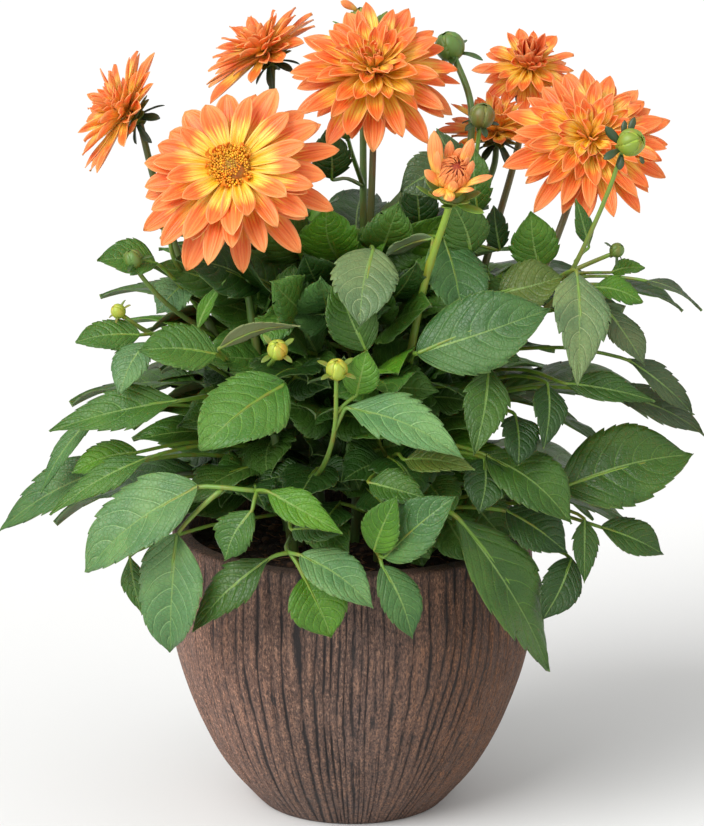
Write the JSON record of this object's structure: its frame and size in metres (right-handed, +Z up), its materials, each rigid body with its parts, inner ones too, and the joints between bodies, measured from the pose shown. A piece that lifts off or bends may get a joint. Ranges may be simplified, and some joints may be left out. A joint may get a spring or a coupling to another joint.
{
  "type": "potted dahlia",
  "caption": "Bushy double-flowered orange dahlia with toothed compound leaves, buds and soil in a wide planter with moulded wood-grain ridges, for a patio or garden",
  "frame": {"origin": "centre of the flat underside of the planter", "axes": "+Z up along the plant; the fullest side of the plant faces -Y; +X to the right of one who looks along +Y"},
  "size_m": [0.4856, 0.3785, 0.5648],
  "materials": {
    "pot": "matt brown resin with moulded wood grain, darker in the grooves and tan on the worn crests",
    "soil": "loose dark peat with reddish fibres",
    "foliage": "green leaf blades, satin on top and paler below, on olive to reddish stems",
    "petal": "soft satin petals, orange red with salmon tips and yellow at the foot",
    "floret": "small yellow to orange disc florets"
  },
  "bodies": {
    "root": {"pot": "pot", "soil": "soil", "stem_left": "foliage", "stem_front_left": "foliage", "stem_back_left": "foliage", "stem_centre": "foliage", "stem_top_bud": "foliage", "stem_bud": "foliage", "stem_back": "foliage", "stem_back_right": "foliage", "stem_right": "foliage", "stem_front_right": "foliage", "shoot_back_left": "foliage", "shoot_back_right": "foliage", "bloom_left": "petal", "bloom_front": "petal", "bloom_back_left": "petal", "bloom_top": "petal", "bloom_back_right": "petal", "bloom_back": "petal", "bloom_right": "petal", "bloom_opening": "petal", "bloom_top_bud": "petal", "disc_front": "floret"}
  },
  "joints": []
}
